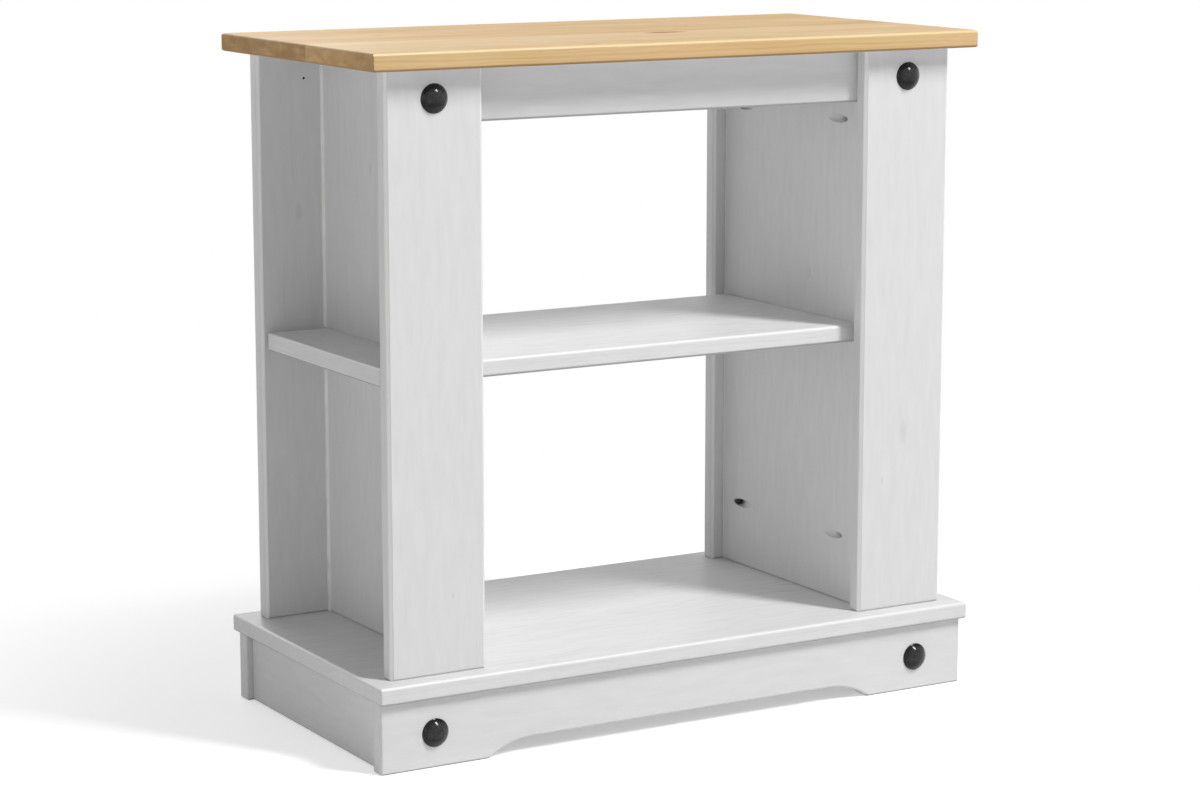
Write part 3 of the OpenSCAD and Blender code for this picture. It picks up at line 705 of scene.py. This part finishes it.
def build_screws(node, name, material, head):
    """Screws with a cross recess in the head and a rolled thread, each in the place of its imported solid.

    head is the head's outline from its outer face, as pairs of radius and depth in millimetres.
    """
    sizes = bpy.context.scene.stand_sizes
    pitch = sizes.thread_pitch
    around, rings_a_turn = 24, 6
    head = [(r * MM, z * MM) for r, z in head]
    neck = head[-1][1]
    head_radius = max(r for r, _ in head)
    # The cross recess narrows toward its bottom, which is a small round.
    cross, arm, bottom, narrowed = 0.588 * head_radius, 0.154 * head_radius, 0.112 * head_radius, 0.8
    mouth_depth, arm_depth, bottom_depth = 0.02 * MM, 1.2 * MM, 1.6 * MM
    # The thread starts below a plain neck and reaches its full depth a little further on. Each side of its ridge
    # takes up this share of the pitch.
    plain_neck, run_in, flank = 3 * MM, 2 * MM, 0.22
    # The tip is this many times as long as the shank's radius, narrows to this share of it, and ends in a point of
    # this radius.
    tip_length, tip_end, point = 2.6, 0.06, 0.05 * MM
    # A screw is wider at its head, in this reach of its end.
    end_reach, widest_shank = 3.5 * MM, 2 * MM
    cut = recess(cross, arm)
    mesh = bmesh.new()
    for points in solids_of(node):
        centre, axis, start, end = long_axis(points)
        wide = [
            max(off_axis(p, centre, axis) for p in points if abs((p - centre) @ axis - at) < end_reach)
            for at in (start, end)
        ]
        if wide[1] > wide[0]:
            axis, start, end = -axis, -end, -start
        shank = min(widest_shank, wide[0] / 2)
        full = end - start
        place = placing(centre, axis, start)
        rings = [
            circle(bottom, bottom_depth, around),
            circle(cross * narrowed, arm_depth, around, lambda angle: cut(angle) * narrowed),
            circle(cross, mouth_depth, around, cut),
        ]
        rings += [circle(r, z, around) for r, z in head]
        tip = full - tip_length * shank
        steps = round((full - neck) / (pitch / rings_a_turn))
        for i in range(1, steps):
            z = neck + (full - neck) * i / steps
            taper = 1 if z < tip else max(tip_end, (full - z) / (full - tip))
            started = min(1, max(0, (z - neck - plain_neck) / run_in))

            def thread(angle, z=z, taper=taper, started=started):
                phase = (z / pitch - angle / (2 * math.pi)) % 1
                ridge = max(0, 1 - abs(phase - 0.5) / flank)
                return -sizes.thread_depth * taper * started * (1 - ridge)

            rings.append(circle(shank * taper, z, around, thread))
        rings.append(circle(point, full, around))
        skin(mesh, [[place @ p for p in ring] for ring in rings])
    new_piece(name, mesh, node, material)


def build_dowels(node, name, material):
    """Fluted dowels with chamfered ends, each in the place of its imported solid."""
    sizes = bpy.context.scene.stand_sizes
    mesh = bmesh.new()
    for points in solids_of(node):
        centre, axis, start, end = long_axis(points)
        radius = max(off_axis(p, centre, axis) for p in points)
        place = placing(centre, axis, start)
        full, tip = end - start, radius / 4
        # Radius, height and the share of the grooves' depth there.
        lower = [(radius - tip, 0, 0), (radius, tip, 0.4), (radius, 2 * tip, 1)]
        profile = lower + [(r, full - z, share) for r, z, share in reversed(lower)]
        rings = []
        for r, z, share in profile:

            def groove(angle, deep=sizes.flute_depth * share):
                return -deep * max(0, math.cos(sizes.flutes * angle))

            rings.append(circle(r, z, 4 * sizes.flutes, groove))
        skin(mesh, [[place @ p for p in ring] for ring in rings])
    new_piece(name, mesh, node, material)


def build_beads(name, material):
    """Beads of filler in the corners where the posts stand out beside the side panels, above and below the outer
    shelves. Their faces are hollow, and their backs lie in the eased edges of the panels."""
    reach = bpy.context.scene.stand_sizes.bead
    ring_spacing, arc_steps = 9 * MM, 6
    skin_gap, back, back_corner = 0.02 * MM, 2.2 * MM, 0.75 * MM
    shelf_low, shelf_high = (corner.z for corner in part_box("left_outer_shelf"))
    spans = ((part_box("base_board")[1].z, shelf_low), (shelf_high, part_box("top_board")[0].z))
    mesh = bmesh.new()
    for side, face in ((-1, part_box("left_side_panel")[0].x), (1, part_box("right_side_panel")[1].x)):
        for end, post in ((-1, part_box("front_left_post")[1].y), (1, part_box("rear_left_post")[0].y)):
            for low, high in spans:
                steps = round((high - low) / ring_spacing)
                rings = []
                for step in range(steps + 1):
                    z = low + (high - low) * step / steps
                    # A fingertip's pull leaves slow waves in the bead's width.
                    wide = reach * (1 + 0.09 * math.sin(z * 61 + 2 * side) + 0.06 * math.sin(z * 173 + 3 * end))
                    # The bead's section, as pairs of how far it lies out from the panel's face and from the post's.
                    section = [(-back, skin_gap)]
                    for i in range(arc_steps + 1):
                        turn = math.pi / 2 * i / arc_steps
                        section.append((wide * (1 - math.sin(turn)), wide * (1 - math.cos(turn)) + skin_gap))
                    section += [(0, back), (-back_corner, back_corner)]
                    rings.append([Vector((face + side * out, post - end * along, z)) for out, along in section])
                skin(mesh, rings)
    new_piece(name, mesh, None, material)


def aim_from_front(bearing, height):
    """The direction from the stand to a lamp, by its bearing from the front and its height, in degrees."""
    a, e = math.radians(bearing), math.radians(height)
    return Vector((math.sin(a) * math.cos(e), -math.cos(a) * math.cos(e), math.sin(e)))


def seen_plainly(tree):
    """1 for what the camera or a glossy reflection sees, and 0 for what lights the stand."""
    ray = add(tree, "ShaderNodeLightPath").outputs
    either = {0: ray["Is Camera Ray"], 1: ray["Is Glossy Ray"]}
    return add(tree, "ShaderNodeMath", either, operation="MAXIMUM")


class STAND_OT_grain(bpy.types.Operator):
    """Make the node groups for pine grain and knots that the board finishes share"""

    bl_idname = "stand.grain"
    bl_label = "Pine grain"

    def execute(self, context):
        knot_group()
        grain_group()
        return {"FINISHED"}


class STAND_OT_top_board(bpy.types.Operator):
    """Finish the top board in clear-lacquered pine, with its knots"""

    bl_idname = "stand.top_board"
    bl_label = "Top board"

    def execute(self, context):
        finish("top_board", lacquered_pine("top_board", X, Y))
        return {"FINISHED"}


class STAND_OT_base_board(bpy.types.Operator):
    """Finish the base board in white paint"""

    bl_idname = "stand.base_board"
    bl_label = "Base board"

    def execute(self, context):
        finish("base_board", painted_pine("base_board", X, Y))
        return {"FINISHED"}


class STAND_OT_posts(bpy.types.Operator):
    """Finish the four posts in white paint, with the grain up their length and their knots showing through"""

    bl_idname = "stand.posts"
    bl_label = "Posts"

    def execute(self, context):
        for name in ("front_left_post", "front_right_post", "rear_left_post", "rear_right_post"):
            finish(name, painted_pine(name, Z, X))
        return {"FINISHED"}


class STAND_OT_side_panels(bpy.types.Operator):
    """Finish both side panels in white paint, with the grain up their height"""

    bl_idname = "stand.side_panels"
    bl_label = "Side panels"

    def execute(self, context):
        for name in ("left_side_panel", "right_side_panel"):
            finish(name, painted_pine(name, Z, Y))
        return {"FINISHED"}


class STAND_OT_shelves(bpy.types.Operator):
    """Finish the centre shelf and the two outer shelves in white paint"""

    bl_idname = "stand.shelves"
    bl_label = "Shelves"

    def execute(self, context):
        finish("centre_shelf", painted_pine("centre_shelf", X, Y))
        for name in ("left_outer_shelf", "right_outer_shelf"):
            finish(name, painted_pine(name, Y, X))
        return {"FINISHED"}


class STAND_OT_aprons(bpy.types.Operator):
    """Finish the front and rear aprons in white paint"""

    bl_idname = "stand.aprons"
    bl_label = "Aprons"

    def execute(self, context):
        for name in ("front_apron", "rear_apron"):
            finish(name, painted_pine(name, X, Z))
        return {"FINISHED"}


class STAND_OT_plinth_boards(bpy.types.Operator):
    """Finish the arched long plinth boards and the short ones between them in white paint"""

    bl_idname = "stand.plinth_boards"
    bl_label = "Plinth boards"

    def execute(self, context):
        for name in ("front_plinth_board", "rear_plinth_board"):
            finish(name, painted_pine(name, X, Z))
        for name in ("left_plinth_board", "right_plinth_board"):
            finish(name, painted_pine(name, Y, Z))
        return {"FINISHED"}


class STAND_OT_filler_beads(bpy.types.Operator):
    """Draw the white beads of filler in the corners between the side panels and the posts"""

    bl_idname = "stand.filler_beads"
    bl_label = "Filler beads"

    def execute(self, context):
        build_beads("filler_beads_of_side_panels", acrylic_filler())
        return {"FINISHED"}


class STAND_OT_corner_blocks(bpy.types.Operator):
    """Finish the plinth's corner blocks in bare sawn pine"""

    bl_idname = "stand.corner_blocks"
    bl_label = "Corner blocks"

    def execute(self, context):
        finish("plinth_corner_blocks", bare_pine())
        return {"FINISHED"}


class STAND_OT_studs(bpy.types.Operator):
    """Build the black domed studs on the posts and on the plinth"""

    bl_idname = "stand.studs"
    bl_label = "Domed studs"

    def execute(self, context):
        material = lacquered_steel()
        build_studs("post_studs", "domed_studs_of_posts", material)
        build_studs("plinth_studs", "domed_studs_of_plinth", material)
        return {"FINISHED"}


class STAND_OT_screws(bpy.types.Operator):
    """Build the washer-head screws in the pockets and the countersunk screws under the base board"""

    bl_idname = "stand.screws"
    bl_label = "Screws"

    def execute(self, context):
        material = zinc_plated_steel()
        washer_head = ((2.9, 0.05), (3.4, 0.5), (3.6, 1.3), (4.4, 1.5), (4.5, 2), (4.5, 2.4), (2, 2.4))
        sunk_head = ((3.8, 0), (4, 0.1), (2, 2))
        for node in ("front_pocket_screws", "rear_pocket_screws", "apron_pocket_screws"):
            build_screws(node, f"threaded_{node}", material, washer_head)
        for node in ("base_screws", "block_side_screws", "block_base_screws"):
            build_screws(node, f"threaded_{node}", material, sunk_head)
        return {"FINISHED"}


class STAND_OT_dowels(bpy.types.Operator):
    """Build the fluted beech dowels in the joints"""

    bl_idname = "stand.dowels"
    bl_label = "Dowels"

    def execute(self, context):
        material = bare_beech()
        for node in ("top_dowels", "base_dowels", "shelf_dowels", "apron_dowels"):
            build_dowels(node, f"fluted_{node}", material)
        return {"FINISHED"}


class STAND_OT_stage(bpy.types.Operator):
    """Set up the pale floor, the soft studio light and the camera"""

    bl_idname = "stand.stage"
    bl_label = "Stage"

    def execute(self, context):
        scene = context.scene
        scene.view_settings.view_transform = "Standard"
        half_floor = 60
        floor_mesh = bmesh.new()
        bmesh.ops.create_grid(floor_mesh, x_segments=1, y_segments=1, size=half_floor)
        data = bpy.data.meshes.new("studio_floor")
        floor_mesh.to_mesh(data)
        floor_mesh.free()
        floor = bpy.data.objects.new("studio_floor", data)
        scene.collection.objects.link(floor)
        # Matt paper: to the camera it is white, and near the stand it still takes a light shadow.
        paper = bpy.data.materials.new("Matt paper")
        paper.use_nodes = True
        tree = paper.node_tree
        tree.nodes.clear()
        matt = add(tree, "ShaderNodeBsdfDiffuse", {"Color": scene.stand_colours.floor})
        glow = add(tree, "ShaderNodeEmission", {"Color": WHITE, "Strength": 0.45})
        white = add(tree, "ShaderNodeEmission", {"Color": WHITE, "Strength": 1})
        lit = add(tree, "ShaderNodeAddShader", {0: matt, 1: glow})
        spot = add(tree, "ShaderNodeTexCoord").outputs["Object"]
        away = add(tree, "ShaderNodeVectorMath", {0: spot}, operation="LENGTH")
        far = add(
            tree,
            "ShaderNodeMapRange",
            {"Value": away.outputs["Value"], "From Min": 0.42, "From Max": 1},
            interpolation_type="SMOOTHSTEP",
        )
        paled = add(tree, "ShaderNodeMixShader", {0: far, 1: lit, 2: white})
        shown = add(tree, "ShaderNodeMixShader", {0: seen_plainly(tree), 1: matt, 2: paled})
        add(tree, "ShaderNodeOutputMaterial", {"Surface": shown})
        data.materials.append(paper)

        world = bpy.data.worlds.new("Studio")
        scene.world = world
        world.use_nodes = True
        tree = world.node_tree
        tree.nodes.clear()
        soft = add(tree, "ShaderNodeBackground", {"Color": WHITE, "Strength": 0.25})
        white = add(tree, "ShaderNodeBackground", {"Color": WHITE, "Strength": 1})
        shown = add(tree, "ShaderNodeMixShader", {0: seen_plainly(tree), 1: soft, 2: white})
        add(tree, "ShaderNodeOutputWorld", {"Surface": shown})

        # Bearing and height in degrees, distance, width and height of the lamp in metres, and power in watts.
        lamps = (
            ("Key", 31, 49, 7, 1, 2.6, 405),
            ("Back", 180, 14, 3.5, 2.6, 1.6, 42),
            ("Left", -75, 8, 3.5, 2.6, 1.6, 9),
        )
        middle = Vector((0, 0, 0.45))
        for name, bearing, height, distance, wide, tall, power in lamps:
            lamp = bpy.data.lights.new(name, "AREA")
            lamp.shape = "RECTANGLE"
            lamp.size, lamp.size_y = wide, tall
            lamp.energy = power
            placed = bpy.data.objects.new(name, lamp)
            scene.collection.objects.link(placed)
            aim = aim_from_front(bearing, height)
            placed.location = middle + aim * distance
            placed.rotation_euler = aim.to_track_quat("Z", "Y").to_euler()

        lens = bpy.data.cameras.new("Camera")
        lens.sensor_width = 36
        lens.lens = 95.6
        camera = bpy.data.objects.new("Camera", lens)
        camera.location = (-1.910, -3.252, 1.036)
        tilt, turn = 10.18, 30.38
        camera.rotation_euler = (math.radians(90 - tilt), 0, math.radians(-turn))
        scene.collection.objects.link(camera)
        scene.camera = camera
        return {"FINISHED"}


BUILDERS = (
    STAND_OT_grain,
    STAND_OT_top_board,
    STAND_OT_base_board,
    STAND_OT_posts,
    STAND_OT_side_panels,
    STAND_OT_shelves,
    STAND_OT_aprons,
    STAND_OT_plinth_boards,
    STAND_OT_filler_beads,
    STAND_OT_corner_blocks,
    STAND_OT_studs,
    STAND_OT_screws,
    STAND_OT_dowels,
    STAND_OT_stage,
)


class STAND_PT_panel(bpy.types.Panel):
    """Lists the stand's settings, and its pieces in the order in which they are made"""

    bl_idname = "STAND_PT_panel"
    bl_label = "Aquarium stand"
    bl_space_type = "VIEW_3D"
    bl_region_type = "UI"
    bl_category = "Stand"

    def draw(self, context):
        layout = self.layout
        for settings in (context.scene.stand_colours, context.scene.stand_sizes):
            box = layout.box()
            for name in settings.__annotations__:
                box.prop(settings, name)
        for builder in BUILDERS:
            layout.operator(builder.bl_idname)


CLASSES = (StandColours, StandSizes, *BUILDERS, STAND_PT_panel)


def register():
    for made in CLASSES:
        bpy.utils.register_class(made)
    bpy.types.Scene.stand_colours = PointerProperty(type=StandColours)
    bpy.types.Scene.stand_sizes = PointerProperty(type=StandSizes)


def unregister():
    del bpy.types.Scene.stand_sizes
    del bpy.types.Scene.stand_colours
    for made in reversed(CLASSES):
        bpy.utils.unregister_class(made)


def main():
    register()
    for builder in BUILDERS:
        group, name = builder.bl_idname.split(".")
        getattr(getattr(bpy.ops, group), name)()


if __name__ == "__main__":
    main()
